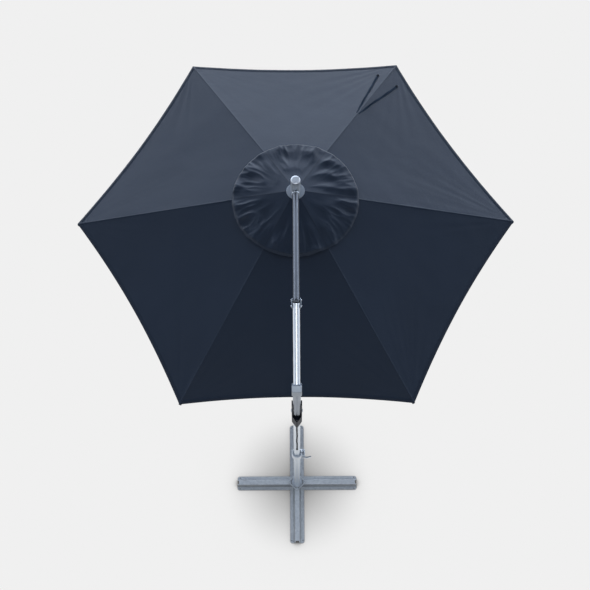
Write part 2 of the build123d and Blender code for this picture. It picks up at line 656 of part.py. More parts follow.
def crown():
    """The slotted disc that the ribs hang from, with a neck up to the flange."""
    disc = hub_upright(CROWN_R, CROWN_BOTTOM, CROWN_TOP) + hub_upright(24.0, CROWN_TOP - 1.0, FLANGE_BOTTOM)
    disc = disc + hub_upright(10.0, FLANGE_BOTTOM - 1.0, FLANGE_TOP)
    for index in range(RIBS):
        angle = index * STEP
        disc = disc - radial_slot(angle, 33.0, 80.0, RIB_WIDTH + 0.8, CROWN_BOTTOM - 1.0, CROWN_TOP + 1.0)
    for index in range(RIBS):
        disc = disc + radial_pin(index * STEP, JOINT_PIN_R, RIB_PIVOT_Z)
    return disc - hub_upright(POLE_R + 0.1, CROWN_BOTTOM - 1.0, CROWN_BOTTOM + 24.0)


def canopy_pole():
    pole = hub_upright(POLE_R, POLE_BOTTOM, CROWN_BOTTOM + 24.0)
    return pole - hub_upright(POLE_BORE_R, POLE_BOTTOM - 1.0, CROWN_BOTTOM + 25.0)


def pole_knob():
    """The turned knob that ends the pole."""
    knob = hub_upright(24.0, POLE_BOTTOM - 34.0, POLE_BOTTOM)
    knob = fillet(knob.edges().filter_by(GeomType.CIRCLE), radius=9.0)
    return knob + hub_upright(POLE_BORE_R - 0.2, POLE_BOTTOM - 1.0, POLE_BOTTOM + 30.0)


def runner():
    """The sliding hub that carries the struts' lower ends."""
    low, high = RUNNER_Z - RUNNER_HALF, RUNNER_Z + RUNNER_HALF - 6.0
    body = hub_upright(RUNNER_R, low, high) + hub_upright(26.0, low - 46.0, low + 1.0)
    for index in range(RIBS):
        body = body - radial_slot(index * STEP, 36.0, 80.0, STRUT_WIDTH + 0.8, low - 1.0, high + 1.0)
    for index in range(RIBS):
        body = body + radial_pin(index * STEP, JOINT_PIN_R, RUNNER_Z)
    body = body - hub_upright(RUNNER_BORE_R, low - 60.0, high + 10.0)
    bore = cylinder_along((0, HUB_Y - 30.0, low - 26.0), (0, 1, 0), 6.08, 11.0)
    return body - bore


def runner_button():
    """The spring button that locks the open runner."""
    low = RUNNER_Z - RUNNER_HALF
    button = cylinder_along((0, HUB_Y - 30.0, low - 26.0), (0, 1, 0), 6.0, 8.0)
    return fillet(button.edges().filter_by(GeomType.CIRCLE).sort_by(Axis.Y)[0], radius=1.5)


# Ribs and struts. Each is drawn along +X from the hub's axis and turned to its place.

def at_hub(solid, index):
    return Pos(0, HUB_Y, 0) * Rot(0, 0, index * STEP) * solid


def radial(reach, drop=0.0):
    """The (x, z) point at a reach along the first rib's axis and a drop square to it."""
    turn = math.radians(RIB_ANGLE)
    return (PIVOT_RADIUS + reach * math.cos(turn) - drop * math.sin(turn),
            RIB_PIVOT_Z - reach * math.sin(turn) - drop * math.cos(turn))


def bar(start, end, width, height):
    """A box-section bar between two (x, z) points."""
    direction = (end[0] - start[0], 0, end[1] - start[1])
    plane = Plane(origin=(start[0], 0, start[1]), x_dir=(0, 1, 0), z_dir=direction)
    return extrude(plane * Rectangle(width, height), amount=math.dist(start, end))


def tangent_cylinder(point, radius, width):
    return cylinder_along((point[0], -width / 2, point[1]), (0, 1, 0), radius, width)


def rib(index):
    """One rib with a rounded end at the crown, a strut lug, and a plastic tip cap."""
    reach = (RIB_END - PIVOT_RADIUS) / math.cos(math.radians(RIB_ANGLE))
    body = bar(radial(0.0), radial(reach), RIB_WIDTH, RIB_HEIGHT)
    body = body + tangent_cylinder(radial(0.0), RIB_HEIGHT / 2, RIB_WIDTH)
    hollow = bar(radial(20.0), radial(reach + 1.0), RIB_WIDTH - 2 * RIB_WALL, RIB_HEIGHT - 2 * RIB_WALL)
    body = body - hollow - tangent_cylinder(radial(0.0), JOINT_HOLE_R, 2 * RIB_WIDTH)
    pivot = radial(STRUT_REACH, STRUT_DROP)
    root = radial(STRUT_REACH, 2.0)
    lug = bar(pivot, root, RIB_WIDTH + 2 * EAR, 16.0) + tangent_cylinder(pivot, 8.0, RIB_WIDTH + 2 * EAR)
    lug = lug - bar(radial(STRUT_REACH, STRUT_DROP + 20.0), root, RIB_WIDTH, 60.0)
    body = body + lug + tangent_cylinder(pivot, JOINT_PIN_R, RIB_WIDTH + EAR)
    cap = bar(radial(reach + 0.05, 1.5), radial(reach + 21.0, 1.5), RIB_WIDTH + 4.0, RIB_HEIGHT)
    cap = fillet(cap.edges(), radius=3.0)
    return Compound([at_hub(body, index), at_hub(cap, index)])


def strut(index):
    """One strut, from the lug under its rib to the runner."""
    top = radial(STRUT_REACH, STRUT_DROP)
    bottom = (PIVOT_RADIUS, RUNNER_Z)
    body = bar(top, bottom, STRUT_WIDTH, STRUT_HEIGHT)
    for end in (top, bottom):
        body = body + tangent_cylinder(end, STRUT_HEIGHT / 2, STRUT_WIDTH)
    length = math.dist(top, bottom)
    inner = [tuple(top[axis] + (bottom[axis] - top[axis]) * part / length for axis in (0, 1))
             for part in (16.0, length - 16.0)]
    body = body - bar(*inner, STRUT_WIDTH - 3.0, STRUT_HEIGHT - 3.0)
    for end in (top, bottom):
        body = body - tangent_cylinder(end, JOINT_HOLE_R, 2 * STRUT_WIDTH)
    return at_hub(body, index)


# Fabric

def seam_height(apex, slope, radius, from_rib):
    """The height of a flat-sided cone of fabric, at a radius and an angle from the rib."""
    mid_slope = slope / math.cos(math.radians(STEP / 2))
    along_mid = radius * math.cos(math.radians(STEP / 2 - abs(from_rib)))
    return apex - mid_slope * along_mid


def fabric_half(apex, slope, inner, outline, side):
    """Half a sector, from the rib's seam to the middle of the panel beside it."""
    half = STEP / 2 - math.degrees(CUT_GAP / 600.0)
    ring = [(inner, 0.0)] + outline + [(inner, half)]
    points = []
    for radius, angle in ring:
        angle = min(angle, half)
        turn = math.radians(angle) * side
        points.append((radius * math.cos(turn), radius * math.sin(turn), seam_height(apex, slope, radius, angle)))
    face = Face(Wire.make_polygon(points))
    return extrude(face, amount=FABRIC, dir=(0, 0, 1))


def hem_outline():
    """Points of the hem from the rib's tip to mid-panel, drawn in by a shallow arc."""
    edge = TIP_R * math.cos(math.radians(STEP / 2))
    half_side = TIP_R / 2
    points = []
    for part in range(7):
        offset = half_side * (1 - part / 6)
        inset = HEM_INSET * (1 - (offset / half_side) ** 2)
        reach = edge - inset
        points.append((math.hypot(reach, offset), STEP / 2 - math.degrees(math.atan2(offset, reach))))
    return points


def vent_outline():
    return [(VENT_R, STEP / 2 * part / 5) for part in range(6)]


def canopy_panel(index):
    """The cover's sector over one rib, with its share of the vent cap above it."""
    cover = None
    vent = None
    for side in (-1, 1):
        lower = fabric_half(APEX_Z, SEAM_SLOPE, PANEL_INNER_R, hem_outline(), side)
        upper = fabric_half(VENT_APEX_Z, VENT_SLOPE, VENT_INNER_R, vent_outline(), side)
        cover = lower if cover is None else cover + lower
        vent = upper if vent is None else vent + upper
    return Compound([at_hub(cover, index), at_hub(vent, index)])


def on_cover(point, lift):
    """The 3-D point over the first rib's sector, from its reach along the rib and its offset beside it."""
    reach, offset = point
    radius = math.hypot(reach, offset)
    angle = math.degrees(math.atan2(abs(offset), reach))
    return (reach, offset, seam_height(APEX_Z, SEAM_SLOPE, radius, angle) + FABRIC + lift)


def strap_run(end):
    """One flat strap from beside the seam to an eyelet, lying on its own side's panel."""
    side = math.copysign(1.0, end[1])
    start = Vector(STRAP_START, side * (STRAP_WIDTH / 2 + 1.5))
    run = Vector(*end) - start
    across = Vector(-run.Y, run.X).normalized() * (STRAP_WIDTH / 2)
    stop = Vector(*end) + run.normalized() * STRAP_TAIL
    corners = [start + across, stop + across, stop - across, start - across]
    points = [on_cover((corner.X, corner.Y), STRAP_LIFT) for corner in corners]
    return extrude(Face(Wire.make_polygon(points)), amount=STRAP_THICKNESS, dir=(0, 0, 1))


def strap_eyelet(end):
    """A domed ring on the strap's outer end."""
    centre = Vector(*on_cover(end, STRAP_LIFT + STRAP_THICKNESS + 0.1))
    beside = Vector(*on_cover((end[0] + 10.0, end[1]), STRAP_LIFT + STRAP_THICKNESS + 0.1)) - centre
    outward = Vector(*on_cover((end[0], end[1] * 1.2), STRAP_LIFT + STRAP_THICKNESS + 0.1)) - centre
    normal = beside.cross(outward)
    normal = normal if normal.Z > 0 else normal * -1
    ring = Plane(origin=centre, z_dir=normal) * (Circle(EYELET_R) - Circle(EYELET_R / 3))
    return extrude(ring, amount=2.5)


def tie_strap():
    return Compound([at_hub(strap_run(end), STRAP_RIB - 1) for end in STRAP_ENDS])


def strap_eyelets():
    return Compound([at_hub(strap_eyelet(end), STRAP_RIB - 1) for end in STRAP_ENDS])


def main():
    os.makedirs("parts", exist_ok=True)
    nodes = {
        "cross_beam_long": cross_beam_long(),
        "cross_beam_back": cross_beam_half(90.0),
        "cross_beam_front": cross_beam_half(-90.0),
        "backing_bar": backing_bar(),
        "foot_plate": foot_plate(),
        "foot_bolts": foot_bolts(),
        "foot_flare": foot_flare(),
        "stand_pipe": stand_pipe(),
        "clamp_collar": clamp_collar(),
        "clamp_bolt": clamp_bolt(),
        "clamp_knob": clamp_knob(),
        "clamp_lever": clamp_lever(),
        "mast_tube": mast_tube(),
        "housing_left": housing_half(-1),
        "housing_right": housing_half(1),
        "housing_screws": housing_screws(),
        "tilt_bolt": tilt_bolt(),
        "latch": latch(),
        "release_cord": release_cord(),
        "cord_knot": cord_knot(),
        "arm_foot": arm_foot(),
        "arm_foot_plug": arm_foot_plug(),
        "bend_block": bend_block(),
        "lower_arm_tube": lower_arm_tube(),
        "elbow_cheek_left": elbow_cheek(-1),
        "elbow_cheek_right": elbow_cheek(1),
        "elbow_bolts": elbow_bolts(),
        "elbow_plug": elbow_plug(),
        "upper_arm_tube": upper_arm_tube(),
        "elbow_insert": elbow_insert(),
        "arm_eye": arm_eye(),
        "hub_post": hub_post(),
        "post_cap": post_cap(),
        "hub_pin": hub_pin(),
        "hub_flange": hub_flange(),
        "crown": crown(),
        "canopy_pole": canopy_pole(),
        "pole_knob": pole_knob(),
        "runner": runner(),
        "runner_button": runner_button(),
        "tie_strap": tie_strap(),
        "strap_eyelets": strap_eyelets(),
    }
    for index in range(RIBS):
        nodes[f"rib_{index + 1}"] = rib(index)
        nodes[f"strut_{index + 1}"] = strut(index)
        nodes[f"canopy_panel_{index + 1}"] = canopy_panel(index)
    for name, shape in nodes.items():
        export_step(shape, f"parts/{name}.step")


main()
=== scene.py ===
# Cantilever parasol: cross base, turning mast, jointed arm and a six-rib folding canopy.
import math

import bmesh
import bpy
from mathutils import Matrix, Vector, noise


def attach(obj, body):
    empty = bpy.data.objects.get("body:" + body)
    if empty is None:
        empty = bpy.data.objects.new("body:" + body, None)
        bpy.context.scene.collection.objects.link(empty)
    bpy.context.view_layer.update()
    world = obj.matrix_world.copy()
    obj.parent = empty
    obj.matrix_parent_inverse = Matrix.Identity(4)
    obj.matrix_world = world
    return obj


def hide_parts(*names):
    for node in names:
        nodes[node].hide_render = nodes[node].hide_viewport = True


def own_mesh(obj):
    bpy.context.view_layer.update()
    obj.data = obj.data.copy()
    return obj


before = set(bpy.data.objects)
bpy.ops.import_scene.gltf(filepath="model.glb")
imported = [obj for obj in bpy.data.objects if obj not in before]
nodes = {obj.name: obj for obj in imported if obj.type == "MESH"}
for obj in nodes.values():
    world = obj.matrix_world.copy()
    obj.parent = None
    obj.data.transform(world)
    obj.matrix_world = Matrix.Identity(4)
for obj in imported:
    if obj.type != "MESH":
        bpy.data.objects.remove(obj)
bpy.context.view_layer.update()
scene = bpy.context.scene
print("frame loaded with", len(nodes), "CAD parts")


# Small tools that every stage uses

def toLinear(hexColour, alpha=1.0):
    # "8a93a0" as typed in a colour picker, turned to the linear values that a socket takes
    channels = [int(hexColour[i:i + 2], 16) / 255 for i in (0, 2, 4)]
    linear = [c / 12.92 if c <= 0.04045 else ((c + 0.055) / 1.055) ** 2.4 for c in channels]
    return (*linear, alpha)


def addNode(tree, kind, inputs=None, **settings):
    # one node, with its settings, and for each input either a value or the output that feeds it
    node = tree.nodes.new(kind)
    for name, value in settings.items():
        setattr(node, name, value)
    for key, value in (inputs or {}).items():
        if isinstance(value, bpy.types.NodeSocket):
            tree.links.new(value, node.inputs[key])
        else:
            node.inputs[key].default_value = value
    return node


def startMaterial(name, **shaderInputs):
    # a material with only its shader and output; returns its tree and shader to be fed
    material = bpy.data.materials.new(name)
    material.use_nodes = True
    tree = material.node_tree
    tree.nodes.clear()
    shader = addNode(tree, "ShaderNodeBsdfPrincipled", {
        key.replace("_", " "): value for key, value in shaderInputs.items()})
    addNode(tree, "ShaderNodeOutputMaterial", {"Surface": shader.outputs["BSDF"]})
    return material, tree, shader


def smoothStep(low, high, value):
    share = min(1.0, max(0.0, (value - low) / (high - low)))
    return share * share * (3 - 2 * share)


def finishPiece(name, bm, material, body, stands=(), smooth=True):
    # a bmesh made into an object that rides on a body
    mesh = bpy.data.meshes.new(name)
    bm.to_mesh(mesh)
    bm.free()
    mesh.materials.append(material)
    if smooth:
        mesh.shade_smooth()
    piece = bpy.data.objects.new(name, mesh)
    scene.collection.objects.link(piece)
    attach(piece, body)
    if stands:
        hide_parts(*stands)
    return piece


# Camera

view = {"place": (-0.0075, -1.98, 8.38), "tilt": 23.449, "roll": -0.34, "lens": 64.12}
cameraData = bpy.data.cameras.new("studioCamera")
cameraData.lens = view["lens"]
cameraData.clip_end = 100.0
camera = bpy.data.objects.new("studioCamera", cameraData)
scene.collection.objects.link(camera)
camera.matrix_world = (Matrix.Translation(view["place"])
                       @ Matrix.Rotation(math.radians(view["tilt"]), 4, "X")
                       @ Matrix.Rotation(math.radians(view["roll"]), 4, "Z"))
scene.camera = camera
print("camera set")


# Materials. Metals keep the default IOR; colours are what an eye sees on the clean material.

waveScale = 0.314        # a wave texture's scale for one band a metre apart, close to pi / 10
skyTint = "b0c6e8"       # the cool tone that dull black plastic and webbing reflect


def scratchedMetal(name, colour, roughness, spread, grainLength, grainStep, bump):
    # metal whose roughness and tone vary a little, with a fine grain along Z
    material, tree, shader = startMaterial(name, Metallic=1.0)
    place = addNode(tree, "ShaderNodeTexCoord")
    grain = addNode(tree, "ShaderNodeMapping", {
        "Vector": place.outputs["Object"],
        "Scale": (1 / grainStep, 1 / grainStep, 1 / grainLength)})
    streaks = addNode(tree, "ShaderNodeTexNoise", {
        "Vector": grain.outputs["Vector"], "Scale": 1.0, "Detail": 3.0})
    clouds = addNode(tree, "ShaderNodeTexNoise", {
        "Vector": place.outputs["Object"], "Scale": 14.0, "Detail": 4.0})
    tone = addNode(tree, "ShaderNodeMix", {
        0: clouds.outputs["Fac"], 6: toLinear(colour[0]), 7: toLinear(colour[1])},
        data_type="RGBA")
    rough = addNode(tree, "ShaderNodeMapRange", {
        "Value": streaks.outputs["Fac"],
        "To Min": roughness - spread, "To Max": roughness + spread})
    dents = addNode(tree, "ShaderNodeBump", {
        "Height": streaks.outputs["Fac"], "Strength": bump, "Distance": 0.0004})
    tree.links.new(tone.outputs[2], shader.inputs["Base Color"])
    tree.links.new(rough.outputs["Result"], shader.inputs["Roughness"])
    tree.links.new(dents.outputs["Normal"], shader.inputs["Normal"])
    return material


def galvanisedSteel(name, lowFace, rimFace):
    # hot-dip zinc: blue-grey, matt, in angular crystals a centimetre or two across.
    # Painted shade: folded walls are painted darker than level faces, and so is anything below the
    # rim at rimFace.
    crystal = {"size": 0.016, "low": "d2d6da", "high": "eaedef", "rough": (0.58, 0.72),
               "wall": 0.52, "steep": 0.6, "level": 0.97, "rimEdge": 0.003}
    material, tree, shader = startMaterial(name, Metallic=1.0)
    place = addNode(tree, "ShaderNodeTexCoord")
    cells = addNode(tree, "ShaderNodeTexVoronoi", {
        "Vector": place.outputs["Object"], "Scale": 1 / crystal["size"], "Randomness": 1.0})
    split = addNode(tree, "ShaderNodeSeparateColor", {"Color": cells.outputs["Color"]})
    stain = addNode(tree, "ShaderNodeTexNoise", {
        "Vector": place.outputs["Object"], "Scale": 9.0, "Detail": 5.0, "Roughness": 0.6})
    share = addNode(tree, "ShaderNodeMath", {
        0: split.outputs["Red"], 1: stain.outputs["Fac"]}, operation="MULTIPLY")
    tone = addNode(tree, "ShaderNodeMix", {
        0: share.outputs["Value"], 6: toLinear(crystal["low"]), 7: toLinear(crystal["high"])},
        data_type="RGBA")
    rough = addNode(tree, "ShaderNodeMapRange", {
        "Value": split.outputs["Green"],
        "To Min": crystal["rough"][0], "To Max": crystal["rough"][1]})
    relief = addNode(tree, "ShaderNodeBump", {
        "Height": split.outputs["Blue"], "Strength": 0.12, "Distance": 0.0006})
    # painted shade: faces that turn from level to steep are painted down to the wall share of their
    # colour
    facing = addNode(tree, "ShaderNodeSeparateXYZ", {"Vector": place.outputs["Normal"]})
    level = addNode(tree, "ShaderNodeMapRange", {
        "Value": facing.outputs["Z"], "From Min": crystal["steep"], "From Max": crystal["level"],
        "To Min": crystal["wall"], "To Max": 1.0})
    height = addNode(tree, "ShaderNodeSeparateXYZ", {"Vector": place.outputs["Object"]})
    # painted shade: below rimFace the colour is painted down to lowFace
    wearAndPaintedShade = addNode(tree, "ShaderNodeMapRange", {
        "Value": height.outputs["Z"], "From Min": rimFace - crystal["rimEdge"], "From Max": rimFace,
        "To Min": lowFace, "To Max": 1.0})
    # the painted shade of the walls and of the dish below the rim, multiplied into the crystal tone
    paintedShade = addNode(tree, "ShaderNodeMath", {
        0: level.outputs["Result"], 1: wearAndPaintedShade.outputs["Result"]}, operation="MULTIPLY")
    shaded = addNode(tree, "ShaderNodeVectorMath", {
        0: tone.outputs[2], "Scale": paintedShade.outputs["Value"]}, operation="SCALE")
    tree.links.new(shaded.outputs["Vector"], shader.inputs["Base Color"])
    tree.links.new(rough.outputs["Result"], shader.inputs["Roughness"])
    tree.links.new(relief.outputs["Normal"], shader.inputs["Normal"])
    return material


def blackNylon():
    # injection-moulded glass-filled nylon: near black, a fine spark-eroded grain about 0.8 mm
    plastic = {"colour": "0d1118", "wearAndPaintedShade": "171c25", "grain": 0.0008}
    material, tree, shader = startMaterial(
        "mouldedBlackNylon", Roughness=0.48, IOR=1.53, Specular_IOR_Level=0.16,
        Specular_Tint=toLinear(skyTint))
    place = addNode(tree, "ShaderNodeTexCoord")
    grain = addNode(tree, "ShaderNodeTexNoise", {
        "Vector": place.outputs["Object"], "Scale": 1 / plastic["grain"], "Detail": 2.0})
    scuffs = addNode(tree, "ShaderNodeTexNoise", {
        "Vector": place.outputs["Object"], "Scale": 22.0, "Detail": 5.0})
    tone = addNode(tree, "ShaderNodeMix", {
        0: scuffs.outputs["Fac"], 6: toLinear(plastic["colour"]), 7: toLinear(plastic["wearAndPaintedShade"])},
        data_type="RGBA")
    relief = addNode(tree, "ShaderNodeBump", {
        "Height": grain.outputs["Fac"], "Strength": 0.25, "Distance": 0.0002})
    tree.links.new(tone.outputs[2], shader.inputs["Base Color"])
    tree.links.new(relief.outputs["Normal"], shader.inputs["Normal"])
    return material


def coatedPolyester():
    # piece-dyed, coated polyester cloth: dull, with a faint sheen at grazing angles.
    # Real threads are 0.5 mm apart, too fine to show, so the weave is drawn at 2.4 mm.
    cloth = {"colour": "182739", "faded": "1c2c40", "hem": "111a26", "weave": 0.0024,
             "mottle": 0.03, "hemWidth": 0.0185, "seamWidth": 0.004, "doubled": 0.25}
    material, tree, shader = startMaterial(
        "dyedPolyesterCloth", Roughness=0.55, IOR=1.5, Specular_IOR_Level=0.3,
        Sheen_Weight=0.1, Sheen_Roughness=0.45)
    place = addNode(tree, "ShaderNodeTexCoord")
    fromHem = addNode(tree, "ShaderNodeAttribute", attribute_name="fromHem")
    fromSeam = addNode(tree, "ShaderNodeAttribute", attribute_name="fromSeam")
    mottle = addNode(tree, "ShaderNodeTexNoise", {
        "Vector": place.outputs["Object"], "Scale": 1 / cloth["mottle"],
        "Detail": 6.0, "Roughness": 0.7})
    fade = addNode(tree, "ShaderNodeTexNoise", {
        "Vector": place.outputs["Object"], "Scale": 2.2, "Detail": 3.0})
    tone = addNode(tree, "ShaderNodeMix", {
        0: fade.outputs["Fac"], 6: toLinear(cloth["colour"]), 7: toLinear(cloth["faded"])},
        data_type="RGBA")
    inHem = addNode(tree, "ShaderNodeMath", {
        0: fromHem.outputs["Fac"], 1: cloth["hemWidth"]}, operation="LESS_THAN")
    inSeam = addNode(tree, "ShaderNodeMath", {
        0: fromSeam.outputs["Fac"], 1: cloth["seamWidth"]}, operation="LESS_THAN")
    dark = addNode(tree, "ShaderNodeMath", {
        0: inHem.outputs["Value"], 1: inSeam.outputs["Value"]}, operation="MAXIMUM")
    darkShare = addNode(tree, "ShaderNodeMath", {
        0: dark.outputs["Value"], 1: cloth["doubled"]}, operation="MULTIPLY")
    hemTone = addNode(tree, "ShaderNodeMix", {
        0: darkShare.outputs["Value"], 6: tone.outputs[2], 7: toLinear(cloth["hem"])},
        data_type="RGBA")
    waves = []
    for direction in ("X", "Y"):
        waves.append(addNode(tree, "ShaderNodeTexWave", {
            "Vector": place.outputs["Object"], "Scale": waveScale / cloth["weave"],
            "Distortion": 0.6},
            wave_type="BANDS", bands_direction=direction))
    weave = addNode(tree, "ShaderNodeMath", {
        0: waves[0].outputs["Fac"], 1: waves[1].outputs["Fac"]}, operation="ADD")
    weaveRelief = addNode(tree, "ShaderNodeBump", {
        "Height": weave.outputs["Value"], "Strength": 0.10, "Distance": 0.0005})
    relief = addNode(tree, "ShaderNodeBump", {
        "Height": mottle.outputs["Fac"], "Strength": 0.22, "Distance": 0.003,
        "Normal": weaveRelief.outputs["Normal"]})
    tree.links.new(hemTone.outputs[2], shader.inputs["Base Color"])
    tree.links.new(relief.outputs["Normal"], shader.inputs["Normal"])
    return material


def wovenStrap(name, colour, step):
    # polyester webbing or cord: ribs of yarn across it
    material, tree, shader = startMaterial(
        name, Roughness=0.75, IOR=1.5, Specular_IOR_Level=0.08, Specular_Tint=toLinear(skyTint))
    place = addNode(tree, "ShaderNodeTexCoord")
    yarn = addNode(tree, "ShaderNodeTexWave", {
        "Vector": place.outputs["Object"], "Scale": waveScale / step, "Distortion": 1.0},
        wave_type="BANDS", bands_direction="DIAGONAL")
    tone = addNode(tree, "ShaderNodeMix", {
        0: yarn.outputs["Fac"], 6: toLinear(colour[0]), 7: toLinear(colour[1])},
        data_type="RGBA")
    relief = addNode(tree, "ShaderNodeBump", {
        "Height": yarn.outputs["Fac"], "Strength": 0.5, "Distance": 0.0005})
    tree.links.new(tone.outputs[2], shader.inputs["Base Color"])
    tree.links.new(relief.outputs["Normal"], shader.inputs["Normal"])
    return material


zinc = galvanisedSteel("hotDipGalvanisedSteel", lowFace=1.0, rimFace=0.0)
# the foot plate's dish below its rim at 43 mm is painted to 0.6 of its colour, a painted shade
plateZinc = galvanisedSteel("galvanisedFootPlate", lowFace=0.6, rimFace=0.043)
nylon = blackNylon()
cloth = coatedPolyester()
webbing = wovenStrap("polyesterWebbing", ("1c2735", "2e3a4a"), 0.003)
rope = wovenStrap("braidedBlackCord", ("06070a", "14171c"), 0.002)
# anodised aluminium tube, drawn and dull: long faint die lines
dullTube = scratchedMetal("dullAnodisedTube", ("51545a", "60646a"), 0.42, 0.04, 0.2, 0.0015, 0.05)
# the lower arm and the cap are anodised over a polish, so they mirror the room softly
brightTube = scratchedMetal(
    "brightAnodisedTube", ("d9dfe6", "eaeef3"), 0.34, 0.04, 0.2, 0.0015, 0.03)
# zinc-plated and tumbled small parts
platedSteel = scratchedMetal("platedSteel", ("c9cfd6", "e2e6eb"), 0.44, 0.07, 0.01, 0.002, 0.08)
mastPaint = scratchedMetal("silverMastTube", ("d2dae3", "e6ecf2"), 0.38, 0.05, 0.3, 0.0015, 0.04)
castGrey = scratchedMetal("castAluminium", ("888f98", "a2a9b2"), 0.46, 0.08, 0.004, 0.003, 0.18)
# the hub's castings are shot-blasted, so they are matt and pale
blastedCast = scratchedMetal(
    "shotBlastedAluminium", ("b6bdc5", "ced4da"), 0.62, 0.06, 0.003, 0.003, 0.15)

canopyTubes = [f"{kind}_{n}" for kind in ("rib", "strut") for n in range(1, 7)]
finishOf = {
    zinc: ["cross_beam_long", "cross_beam_back", "cross_beam_front", "backing_bar"],
    plateZinc: ["foot_plate"],
    platedSteel: ["foot_bolts", "foot_flare", "clamp_collar", "clamp_bolt", "clamp_knob",
                  "clamp_lever", "housing_screws", "tilt_bolt", "elbow_bolts", "hub_pin"],
    mastPaint: ["stand_pipe", "mast_tube"],
    castGrey: ["arm_foot", "bend_block", "elbow_plug", "hub_flange",
               "elbow_cheek_left", "elbow_cheek_right"],
    blastedCast: ["arm_eye", "hub_post"],
    dullTube: ["upper_arm_tube", "elbow_insert", "canopy_pole"] + canopyTubes,
    brightTube: ["lower_arm_tube", "post_cap"],
    nylon: ["housing_left", "housing_right", "latch", "arm_foot_plug", "crown", "runner",
            "runner_button", "pole_knob"],
    rope: ["cord_knot"],
}
for material, names in finishOf.items():
    for name in names:
        nodes[name].data.materials.clear()
        nodes[name].data.materials.append(material)
print("materials made:", len(bpy.data.materials))


# Canopy: six flat gores between the ribs, each cut at its middle, whose halves fold with their ribs

canopy = {
    "centre": Vector((0.0, 1.35)), "apex": 2.40865, "slope": 0.458 / 1.5, "reach": 1.5,
    "hemInset": 0.043, "innerReach": 0.29, "cloth": 0.0012, "cells": 96, "folded": 0.095,
    "cutFrom": (0.76, 1.27),
    "sag": 0.008, "hemBand": (0.020, 0.0186, 0.009), "hemProud": 0.0010,
    # each ripple: how high, how fine, and how far from the seam, hem or rib tip it fades
    "swell": (0.0022, 3.1), "crinkle": (0.0009, 9.0), "pucker": (0.0011, 34, 0.035),
    "hemPucker": (0.0012, 30, 0.04), "tipPull": (0.0022, 7, 0.35, 0.12), "calm": 0.012}
sixth = math.radians(60)
twelfth = math.radians(30)


def foldDirection(ribAngle, side):
    # the line in the gore beside a rib that is square to the rib, along which that half folds up
    along = Vector((math.cos(ribAngle), math.sin(ribAngle), -canopy["slope"])).normalized()
    goreAngle = ribAngle + side * twelfth
    gore = canopy["slope"] / math.cos(twelfth)
    normal = Vector((gore * math.cos(goreAngle), gore * math.sin(goreAngle), 1.0)).normalized()
    return normal.cross(along)


def ribPoint(ribAngle, reach, lift=0.0):
    return Vector((canopy["centre"].x + reach * math.cos(ribAngle),
                   canopy["centre"].y + reach * math.sin(ribAngle),
                   canopy["apex"] - canopy["slope"] * reach + lift))


def clothNormals(piece):
    # shades a thin closed sheet by the normals that its whole surface had before it was cut
    mesh = piece.data
    stored = mesh.attributes["smoothNormal"].data
    loopNormals = [None] * len(mesh.loops)
    for face in mesh.polygons:
        for loop in face.loop_indices:
            normal = stored[mesh.loops[loop].vertex_index].vector
            share = normal.dot(face.normal)
            loopNormals[loop] = normal if share > 0.5 else -normal if share < -0.5 else face.normal
    mesh.normals_split_custom_set([tuple(normal) for normal in loopNormals])
    mesh.attributes.remove(mesh.attributes["smoothNormal"])


def clothPiece(name, whole, keepFace, ribNumber, side, thickness):
    # the part of a sheet whose faces pass keepFace, given its thickness, on its own rib
    part = whole.copy()
    bmesh.ops.delete(part, geom=[f for f in part.faces if not keepFace(f.calc_center_median())],
                     context="FACES")
    bmesh.ops.solidify(part, geom=part.faces[:], thickness=thickness)
    piece = finishPiece(name, part, cloth, f"rib_{ribNumber}_body",
                        (f"canopy_panel_{ribNumber}",))
    clothNormals(piece)
    ribAngle = (ribNumber - 1) * sixth
    return piece, foldDirection(ribAngle, side), ribPoint(ribAngle, 1.0)


def markSheet(bm, fromHem, fromSeam):
    # keeps each point's normal and its distances to the edge and the seam on the mesh
    bm.normal_update()
    normalLayer = bm.verts.layers.float_vector.new("smoothNormal")
    hemLayer = bm.verts.layers.float.new("fromHem")
    seamLayer = bm.verts.layers.float.new("fromSeam")
    for vert in bm.verts:
        vert[normalLayer] = vert.normal
        vert[hemLayer] = fromHem[vert.index]
        vert[seamLayer] = fromSeam[vert.index]


